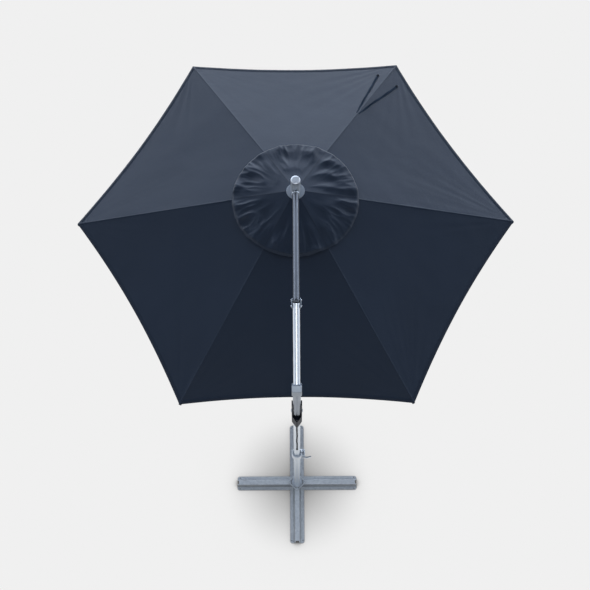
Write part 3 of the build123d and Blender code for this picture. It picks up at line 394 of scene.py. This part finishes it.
def goreSheet(number):
    # one gore between rib number and the next, flat at first and then put in its place
    cells = canopy["cells"]
    bm = bmesh.new()
    nearMiddle = canopy["innerReach"] * math.cos(twelfth)
    farMiddle = canopy["reach"] * math.cos(twelfth)
    spread = math.tan(twelfth)
    corners = [bm.verts.new((sign * middle * spread, middle, 0.0)) for sign, middle in
               ((-1, nearMiddle), (1, nearMiddle), (1, farMiddle), (-1, farMiddle))]
    bm.faces.new(corners)
    bmesh.ops.subdivide_edges(bm, edges=bm.edges[:], cuts=cells - 1, use_grid_fill=True)
    bm.verts.index_update()
    middleAngle = (number - 0.5) * sixth
    outward = Vector((math.cos(middleAngle), math.sin(middleAngle)))
    across = Vector((outward.y, -outward.x))
    gore = canopy["slope"] / math.cos(twelfth)
    bands = canopy["hemBand"]
    fromHem, fromSeam = {}, {}
    for vert in bm.verts:
        row = round((vert.co.y - nearMiddle) / (farMiddle - nearMiddle) * cells)
        share = vert.co.x / (vert.co.y * spread)
        edge = farMiddle - canopy["hemInset"] * (1 - share * share)
        length = edge - nearMiddle
        if row <= cells - 3:
            reach = nearMiddle + row / (cells - 3) * (length - bands[0])
        else:
            reach = edge - (bands[1], bands[2], 0.0)[row - cells + 2]
        place = canopy["centre"] + outward * reach + across * (share * reach * spread)
        toHem = edge - reach
        toSeam = (1 - abs(share)) * reach * spread
        alongRib = reach / math.cos(twelfth)
        tipWay = Vector((toSeam, toHem))
        high, fine = canopy["swell"]
        ripple = noise.noise(Vector((place.x * fine, place.y * fine, number * 7.0))) * high
        high, fine = canopy["crinkle"]
        ripple += noise.noise(Vector((place.x * fine, place.y * fine, number * 3.0))) * high
        high, fine, fades = canopy["pucker"]
        pucker = noise.noise(Vector((alongRib * fine, math.copysign(2.0, share), number))) * high
        ripple += pucker * math.exp(-toSeam / fades)
        high, fine, fades = canopy["hemPucker"]
        pucker = noise.noise(Vector((share * reach * fine, 5.0, number))) * high
        ripple += pucker * math.exp(-toHem / fades)
        high, fine, fades, fullFrom = canopy["tipPull"]
        fan = math.atan2(tipWay.x, tipWay.y) * fine
        pull = noise.noise(Vector((fan, math.copysign(3.0, share), number))) * high
        ripple += (pull * smoothStep(0.0, fullFrom, tipWay.length)
                   * math.exp(-tipWay.length / fades))
        calm = smoothStep(0.0, canopy["calm"], toSeam)
        sag = canopy["sag"] * (1 - share * share) * smoothStep(0.25, 1.1, alongRib)
        height = canopy["apex"] - gore * reach - sag + ripple * calm
        if toHem < bands[1] + 1e-5:
            height += canopy["hemProud"]
        vert.co = (place.x, place.y, height)
        fromHem[vert.index], fromSeam[vert.index] = toHem, toSeam
    bmesh.ops.recalc_face_normals(bm, faces=bm.faces[:])
    if sum(f.normal.z for f in bm.faces) < 0:
        bmesh.ops.reverse_faces(bm, faces=bm.faces[:])
    markSheet(bm, fromHem, fromSeam)
    return bm, middleAngle


for number in range(1, 7):
    whole, middleAngle = goreSheet(number)
    towardsNext = Vector((-math.sin(middleAngle), math.cos(middleAngle)))
    for side, ribNumber in ((1, number), (-1, number % 6 + 1)):
        def ownHalf(centre, side=side):
            return (centre.xy - canopy["centre"]).dot(towardsNext) * side < 0
        half, foldLine, anchor = clothPiece(
            f"gore_{number}_{'left' if side > 0 else 'right'}", whole, ownHalf, ribNumber, side,
            canopy["cloth"])
        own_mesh(half)
    whole.free()
print("cover gores made")


# Vent cap: a round gathered cloth over the opening, which crumples between its seams

vent = {
    "apex": 2.4055, "slope": 0.27, "reach": 0.42, "inner": 0.053, "rings": 64, "spokes": 432,
    # each crease: how many, how it wanders, its own layer, its height, where it starts and is full
    "creases": [(1.7, 2.2, 3.3, 0.026, 0.05, 0.80), (3.6, 2.8, 8.1, 0.024, 0.20, 0.95),
                (7.0, 3.2, 15.7, 0.019, 0.40, 1.0), (13.0, 3.6, 23.9, 0.009, 0.60, 1.0)],
    "cloth": 0.0012, "folded": 0.16, "cutFrom": (0.24, 0.42),
    "clear": 0.0035, "tuck": 0.014, "tuckShare": 0.55, "ribCalm": 0.055, "drawnIn": 0.016}


def goreHeight(apex, slope, reach, angle):
    # the height of a six-sided cone whose edges lie over the ribs
    fromRib = abs((angle + twelfth) % sixth - twelfth)
    return apex - slope / math.cos(twelfth) * reach * math.cos(twelfth - fromRib)


def creased(count, angle, share, drift, layer):
    # a ridge that is sharp along wandering radial lines, about six lines per unit of count
    value = noise.noise(Vector((
        math.cos(angle) * count, math.sin(angle) * count, share * drift + layer)))
    return 0.5 - math.sqrt(value * value + 0.0012)


def ventSheet():
    bm = bmesh.new()
    centre = canopy["centre"]
    start = bm.verts.new((centre.x + vent["inner"], centre.y, 0.0))
    end = bm.verts.new((centre.x + vent["reach"], centre.y, 0.0))
    profile = bm.edges.new((start, end))
    bmesh.ops.subdivide_edges(bm, edges=[profile], cuts=vent["rings"] - 1)
    bmesh.ops.spin(bm, geom=bm.verts[:] + bm.edges[:], cent=(centre.x, centre.y, 0.0),
                   axis=(0, 0, 1), angle=2 * math.pi, steps=vent["spokes"], use_merge=True)
    bmesh.ops.remove_doubles(bm, verts=bm.verts[:], dist=1e-5)
    bm.verts.index_update()
    fromHem, fromSeam = {}, {}
    for vert in bm.verts:
        flat = Vector((vert.co.x, vert.co.y)) - centre
        reach = flat.length
        angle = math.atan2(flat.y, flat.x) % (2 * math.pi)
        share = reach / vent["reach"]
        relief = 0.0
        for count, drift, layer, height, begins, full in vent["creases"]:
            crease = creased(count, angle, share, drift, layer)
            relief += height * crease * smoothStep(begins, full, share)
        toEdge = vent["reach"] - reach
        fromRib = abs((angle + twelfth) % sixth - twelfth) * reach
        relief *= 0.25 + 0.75 * smoothStep(0.0, vent["ribCalm"], fromRib)
        base = goreHeight(vent["apex"], vent["slope"], reach, angle)
        under = goreHeight(canopy["apex"], canopy["slope"], reach, angle) + vent["clear"]
        height = base + relief
        # the edge is drawn down on to the cover by its elastic
        tuck = smoothStep(vent["tuck"], 0.0, toEdge)
        pulled = vent["tuckShare"] * tuck
        height = height * (1 - pulled) + (under + 0.35 * max(0.0, relief)) * pulled
        gap = height - under
        height = under + (gap + math.sqrt(gap * gap + 0.000016)) / 2
        drawn = 1 - vent["drawnIn"] * tuck * abs(creased(7.0, angle, 1.0, 2.6, 15.7))
        place = centre + flat * drawn
        vert.co = (place.x, place.y, height)
        fromHem[vert.index], fromSeam[vert.index] = toEdge, fromRib
    bmesh.ops.recalc_face_normals(bm, faces=bm.faces[:])
    if sum(f.normal.z for f in bm.faces) < 0:
        bmesh.ops.reverse_faces(bm, faces=bm.faces[:])
    markSheet(bm, fromHem, fromSeam)
    return bm


whole = ventSheet()
for number in range(1, 7):
    for side in (1, -1):
        middle = (number - 1) * sixth + side * twelfth / 2

        def ownSlice(centre, middle=middle):
            flat = centre.xy - canopy["centre"]
            off = (math.atan2(flat.y, flat.x) - middle + math.pi) % (2 * math.pi) - math.pi
            return abs(off) < twelfth / 2
        slicePiece, foldLine, anchor = clothPiece(
            f"ventCap_{number}_{'left' if side > 0 else 'right'}", whole, ownSlice, number, side,
            vent["cloth"])
        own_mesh(slicePiece)
whole.free()
print("vent cap made")


# Seams: a felled strip over each rib

seam = {"start": 0.30, "end": 1.492, "halfWidth": 0.0065, "proud": 0.0011, "steps": 170,
        "cutWidth": 0.014, "clear": 0.0008, "cloth": 0.0008, "pucker": 0.0004}


def seamStrip(number):
    ribAngle = (number - 1) * sixth
    bm = bmesh.new()
    bmesh.ops.create_grid(bm, x_segments=seam["steps"], y_segments=6, size=1.0)
    outward = Vector((math.cos(ribAngle), math.sin(ribAngle)))
    sideways = Vector((-outward.y, outward.x))
    length = seam["end"] - seam["start"]
    bm.verts.index_update()
    fromHem, fromSeam = {}, {}
    for vert in bm.verts:
        reach = seam["start"] + (vert.co.x + 1) / 2 * length
        offset = vert.co.y * seam["halfWidth"]
        angle = math.atan2(offset, reach) + ribAngle
        height = goreHeight(canopy["apex"], canopy["slope"], math.hypot(offset, reach), angle)
        height += seam["clear"] + seam["proud"] * (1 - abs(vert.co.y) ** 4)
        height += seam["pucker"] * noise.noise(Vector((reach * 60, vert.co.y * 2, number)))
        place = canopy["centre"] + outward * reach + sideways * offset
        fromHem[vert.index], fromSeam[vert.index] = 0.5, 0.5 if abs(vert.co.y) < 0.9 else 0.0
        vert.co = (place.x, place.y, height)
    if sum(f.normal.z for f in bm.faces) < 0:
        bmesh.ops.reverse_faces(bm, faces=bm.faces[:])
    markSheet(bm, fromHem, fromSeam)
    bmesh.ops.solidify(bm, geom=bm.faces[:], thickness=seam["cloth"])
    piece = finishPiece(f"seamStrip_{number}", bm, cloth, f"rib_{number}_body")
    clothNormals(piece)


for number in range(1, 7):
    seamStrip(number)
print("seams made")


# Tie strap: two webbing ends sewn at one seam, each led out to an eyelet

straps = {
    "rib": 2, "start": 0.880, "ends": {"far": (1.324, 0.066), "near": (1.309, -0.098)},
    "width": 0.014, "thickness": 0.0015, "tail": 0.012, "sewnAside": 0.0085, "clear": 0.0018,
    "wave": 0.0022, "eyelet": 0.011, "eyeletWire": 0.0026, "eyeletLift": 0.0046}


def onCover(ribAngle, reach, offset, lift):
    angle = math.atan2(offset, reach) + ribAngle
    radius = math.hypot(reach, offset)
    height = goreHeight(canopy["apex"], canopy["slope"], radius, angle)
    # the cover sags a little between its ribs
    toSeam = abs(offset) / (math.tan(twelfth) * max(reach, 0.01))
    share = 1 - min(1.0, toSeam)
    height -= canopy["sag"] * (1 - share * share) * smoothStep(0.25, 1.1, radius)
    return Vector((canopy["centre"].x + radius * math.cos(angle),
                   canopy["centre"].y + radius * math.sin(angle), height + lift))


def strapPiece(label, end):
    ribAngle = (straps["rib"] - 1) * sixth
    side = math.copysign(1, end[1])
    startPoint = Vector((straps["start"], side * straps["sewnAside"]))
    run = Vector(end) - startPoint
    length = run.length + straps["tail"]
    run.normalize()
    across = Vector((-run.y, run.x))
    bm = bmesh.new()
    bmesh.ops.create_grid(bm, x_segments=90, y_segments=6, size=1.0)
    for vert in bm.verts:
        share = (vert.co.x + 1) / 2
        # the webbing is gathered narrow at its sewn end and rolls over once on its way
        narrow = 0.55 + 0.45 * smoothStep(0.0, 0.2, share)
        roll = 0.9 * math.exp(-((share - 0.33) / 0.13) ** 2) * (1.0 if side < 0 else 0.55)
        half = straps["width"] / 2 * narrow
        flat = startPoint + run * (share * length) + across * (vert.co.y * half * math.cos(roll))
        wave = straps["wave"] * (1 + math.sin(share * 21 + side)) * smoothStep(0.05, 0.2, share)
        wave *= smoothStep(1.0, 0.85, share)
        lift = straps["clear"] + wave + half * math.sin(roll) * (1 + vert.co.y)
        lift += 0.0006 * vert.co.y ** 2
        vert.co = onCover(ribAngle, flat.x, flat.y, lift)
    if sum(f.normal.z for f in bm.faces) < 0:
        bmesh.ops.reverse_faces(bm, faces=bm.faces[:])
    bmesh.ops.solidify(bm, geom=bm.faces[:], thickness=straps["thickness"])
    piece = finishPiece(f"tieStrap_{label}", bm, webbing, "rib_2_body", ("tie_strap",))
    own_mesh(piece)

    ring = bmesh.new()
    circle = bmesh.ops.create_circle(
        ring, cap_ends=False, radius=straps["eyeletWire"], segments=12)
    bmesh.ops.rotate(ring, verts=circle["verts"], cent=(0, 0, 0),
                     matrix=Matrix.Rotation(math.pi / 2, 3, "X"))
    bmesh.ops.scale(ring, verts=circle["verts"], vec=(1.0, 1.0, 0.55))
    bmesh.ops.translate(ring, verts=circle["verts"], vec=(straps["eyelet"] - 0.0030, 0, 0))
    bmesh.ops.spin(ring, geom=ring.verts[:] + ring.edges[:], cent=(0, 0, 0), axis=(0, 0, 1),
                   angle=2 * math.pi, steps=32, use_merge=True)
    bmesh.ops.remove_doubles(ring, verts=ring.verts[:], dist=1e-6)
    bmesh.ops.recalc_face_normals(ring, faces=ring.faces[:])
    centre = onCover(ribAngle, end[0], end[1], straps["eyeletLift"])
    normal = foldDirection(ribAngle, side).cross(
        Vector((math.cos(ribAngle), math.sin(ribAngle), -canopy["slope"]))).normalized()
    if normal.z < 0:
        normal = -normal
    turn = normal.to_track_quat("Z", "Y").to_matrix().to_4x4()
    bmesh.ops.transform(ring, matrix=Matrix.Translation(centre) @ turn, verts=ring.verts[:])
    eyelet = finishPiece(f"strapEyelet_{label}", ring, nylon, "rib_2_body",
                         ("strap_eyelets",))
    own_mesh(eyelet)


for label, end in straps["ends"].items():
    strapPiece(label, end)
print("tie straps made")


# Release cord: two strands laid round one smooth line, from the latch down to its knot

cord = {
    "route": [(0.0, -0.046, 1.750), (0.0, -0.046, 1.654), (0.0022, -0.0454, 1.548),
              (-0.0014, -0.0466, 1.430), (0.0024, -0.0476, 1.318), (0.0004, -0.0466, 1.220)],
    "diameter": 0.0115, "strands": 2, "lay": 0.050, "strand": 0.0031, "step": 0.002}


def cordLine():
    curve = bpy.data.curves.new("cordLine", "CURVE")
    curve.dimensions = "3D"
    curve.resolution_u = 24
    spline = curve.splines.new("NURBS")
    spline.points.add(len(cord["route"]) - 1)
    for point, place in zip(spline.points, cord["route"]):
        point.co = (*place, 1.0)
    spline.order_u = 3
    spline.use_endpoint_u = True
    holder = bpy.data.objects.new("cordLine", curve)
    scene.collection.objects.link(holder)
    line = bpy.data.meshes.new_from_object(holder)
    points = [vert.co.copy() for vert in line.vertices]
    bpy.data.objects.remove(holder)
    bpy.data.meshes.remove(line)
    return points


def spacedPoints(points, step):
    spaced = [points[0]]
    left = step
    for a, b in zip(points, points[1:]):
        here = a
        while (b - here).length > left:
            here = here + (b - here).normalized() * left
            spaced.append(here)
            left = step
        left -= (b - here).length
    spaced.append(points[-1])
    return spaced


line = spacedPoints(cordLine(), cord["step"])
strandCurve = bpy.data.curves.new("releaseCord", "CURVE")
strandCurve.dimensions = "3D"
strandCurve.bevel_depth = cord["strand"]
strandCurve.bevel_resolution = 2
strandCurve.use_fill_caps = True
for strand in range(cord["strands"]):
    spline = strandCurve.splines.new("POLY")
    spline.points.add(len(line) - 1)
    for index, place in enumerate(line):
        turn = 2 * math.pi * (index * cord["step"] / cord["lay"] + strand / cord["strands"])
        away = cord["diameter"] / 2 - cord["strand"]
        offset = Vector((math.cos(turn), math.sin(turn), 0.0)) * away
        spline.points[index].co = (*(place + offset), 1.0)
strandHolder = bpy.data.objects.new("strandHolder", strandCurve)
scene.collection.objects.link(strandHolder)
ropeMesh = bpy.data.meshes.new_from_object(strandHolder)
bpy.data.objects.remove(strandHolder)
ropeMesh.materials.clear()
ropeMesh.materials.append(rope)
releaseCord = bpy.data.objects.new("releaseCord", ropeMesh)
scene.collection.objects.link(releaseCord)
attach(releaseCord, "latch_body")
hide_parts("release_cord")


# Floor and light

floorSize = {"half": 30.0, "height": -0.0006}
bm = bmesh.new()
bmesh.ops.create_grid(bm, x_segments=1, y_segments=1, size=floorSize["half"])
bmesh.ops.translate(bm, verts=bm.verts[:], vec=(0, 0, floorSize["height"]))
floorMesh = bpy.data.meshes.new("studioFloor")
bm.to_mesh(floorMesh)
bm.free()
# pale light-table floor: it glows evenly, with a painted shadow where something stands close over
# it and a painted round shadow darkest at the mast
floorGlow = {"colour": "f0f0f0", "near": 0.9, "open": 0.985, "shut": 0.45, "darkest": 0.1,
             "around": 0.62, "atMast": 0.5}
floorMaterial, floorTree, floorShader = startMaterial(
    "paleFloor", Base_Color=toLinear("000000"), Roughness=1.0, Emission_Strength=1.0,
    Specular_IOR_Level=0.0)
nearby = addNode(floorTree, "ShaderNodeAmbientOcclusion", {"Distance": floorGlow["near"]},
                 samples=24)
# painted contact shadow: the glow is darkened by how shut in each point is
paintedContactShadow = addNode(floorTree, "ShaderNodeMapRange", {
    "Value": nearby.outputs["AO"], "From Min": floorGlow["shut"], "From Max": floorGlow["open"],
    "To Min": floorGlow["darkest"], "To Max": 1.0})
spot = addNode(floorTree, "ShaderNodeTexCoord")
fromMast = addNode(floorTree, "ShaderNodeVectorMath", {0: spot.outputs["Object"]},
                   operation="LENGTH")
# painted shadow: a soft round darkening centred on the mast, whatever stands there
paintedMastShadow = addNode(floorTree, "ShaderNodeMapRange", {
    "Value": fromMast.outputs["Value"], "From Min": 0.0, "From Max": floorGlow["around"],
    "To Min": floorGlow["atMast"], "To Max": 1.0}, interpolation_type="SMOOTHSTEP")
paintedShadowShare = addNode(floorTree, "ShaderNodeMath", {
    0: paintedContactShadow.outputs["Result"], 1: paintedMastShadow.outputs["Result"]}, operation="MULTIPLY")
paint = addNode(floorTree, "ShaderNodeMix", {
    0: paintedShadowShare.outputs["Value"], 6: toLinear("000000"), 7: toLinear(floorGlow["colour"])},
    data_type="RGBA")
floorTree.links.new(paint.outputs[2], floorShader.inputs["Emission Color"])
floorMesh.materials.append(floorMaterial)
studioFloor = bpy.data.objects.new("studioFloor", floorMesh)
scene.collection.objects.link(studioFloor)

world = bpy.data.worlds.new("studioRoom")
world.use_nodes = True
roomTree = world.node_tree
roomTree.nodes.clear()
# a white cove: brightest low down, dimmer overhead and at the front, with a soft bank of
# light low at the back
room = {"low": 1.9, "high": 0.50, "reach": 0.55, "front": 0.35, "frontFrom": -0.9, "frontTo": 0.2,
        "bank": 4.9, "bankFrom": 0.2, "bankTo": 0.95, "bankFloor": 0.15, "bankTop": 0.42,
        "tint": "dfeafb"}
seen = addNode(roomTree, "ShaderNodeLightPath")
way = addNode(roomTree, "ShaderNodeTexCoord")
rise = addNode(roomTree, "ShaderNodeSeparateXYZ", {"Vector": way.outputs["Generated"]})
glow = addNode(roomTree, "ShaderNodeMapRange", {
    "Value": rise.outputs["Z"], "From Min": 0.0, "From Max": room["reach"],
    "To Min": room["low"], "To Max": room["high"]}, interpolation_type="SMOOTHSTEP")
dimmed = addNode(roomTree, "ShaderNodeMapRange", {
    "Value": rise.outputs["Y"], "From Min": room["frontFrom"], "From Max": room["frontTo"],
    "To Min": room["front"], "To Max": 1.0}, interpolation_type="SMOOTHSTEP")
behind = addNode(roomTree, "ShaderNodeMapRange", {
    "Value": rise.outputs["Y"], "From Min": room["bankFrom"], "From Max": room["bankTo"],
    "To Min": 0.0, "To Max": room["bank"]}, interpolation_type="SMOOTHSTEP")
below = addNode(roomTree, "ShaderNodeMapRange", {
    "Value": rise.outputs["Z"], "From Min": room["bankFloor"], "From Max": room["bankTop"],
    "To Min": 1.0, "To Max": 0.0}, interpolation_type="SMOOTHSTEP")
cove = addNode(roomTree, "ShaderNodeMath", {
    0: glow.outputs["Result"], 1: dimmed.outputs["Result"]}, operation="MULTIPLY")
strength = addNode(roomTree, "ShaderNodeMath", {
    0: behind.outputs["Result"], 1: below.outputs["Result"], 2: cove.outputs["Value"]},
    operation="MULTIPLY_ADD")
shown = addNode(roomTree, "ShaderNodeBackground", {"Color": toLinear("f0f0f0"), "Strength": 1.0})
lit = addNode(roomTree, "ShaderNodeBackground", {
    "Color": toLinear(room["tint"]), "Strength": strength.outputs["Value"]})
both = addNode(roomTree, "ShaderNodeMixShader", {
    0: seen.outputs["Is Camera Ray"], 1: lit.outputs["Background"], 2: shown.outputs["Background"]})
addNode(roomTree, "ShaderNodeOutputWorld", {"Surface": both.outputs["Shader"]})
scene.world = world

# one long lamp at the front, seen only in what shines
frontStrip = {"from": (0.0, -0.76, 0.65), "distance": 9.0, "size": (6.0, 3.0), "power": 145,
              "colour": (0.93, 0.97, 1.0), "target": (0.0, 1.0, 2.0)}
lamp = bpy.data.lights.new("frontStrip", "AREA")
lamp.shape = "RECTANGLE"
lamp.size, lamp.size_y = frontStrip["size"]
lamp.energy = frontStrip["power"]
lamp.color = frontStrip["colour"]
lampHolder = bpy.data.objects.new("frontStrip", lamp)
scene.collection.objects.link(lampHolder)
toLamp = Vector(frontStrip["from"]).normalized()
lampHolder.location = Vector(frontStrip["target"]) + toLamp * frontStrip["distance"]
lampHolder.rotation_euler = toLamp.to_track_quat("Z", "Y").to_euler()
lampHolder.visible_camera = False
lampHolder.visible_diffuse = False
scene.view_settings.view_transform = "Standard"
print("floor and lights set")
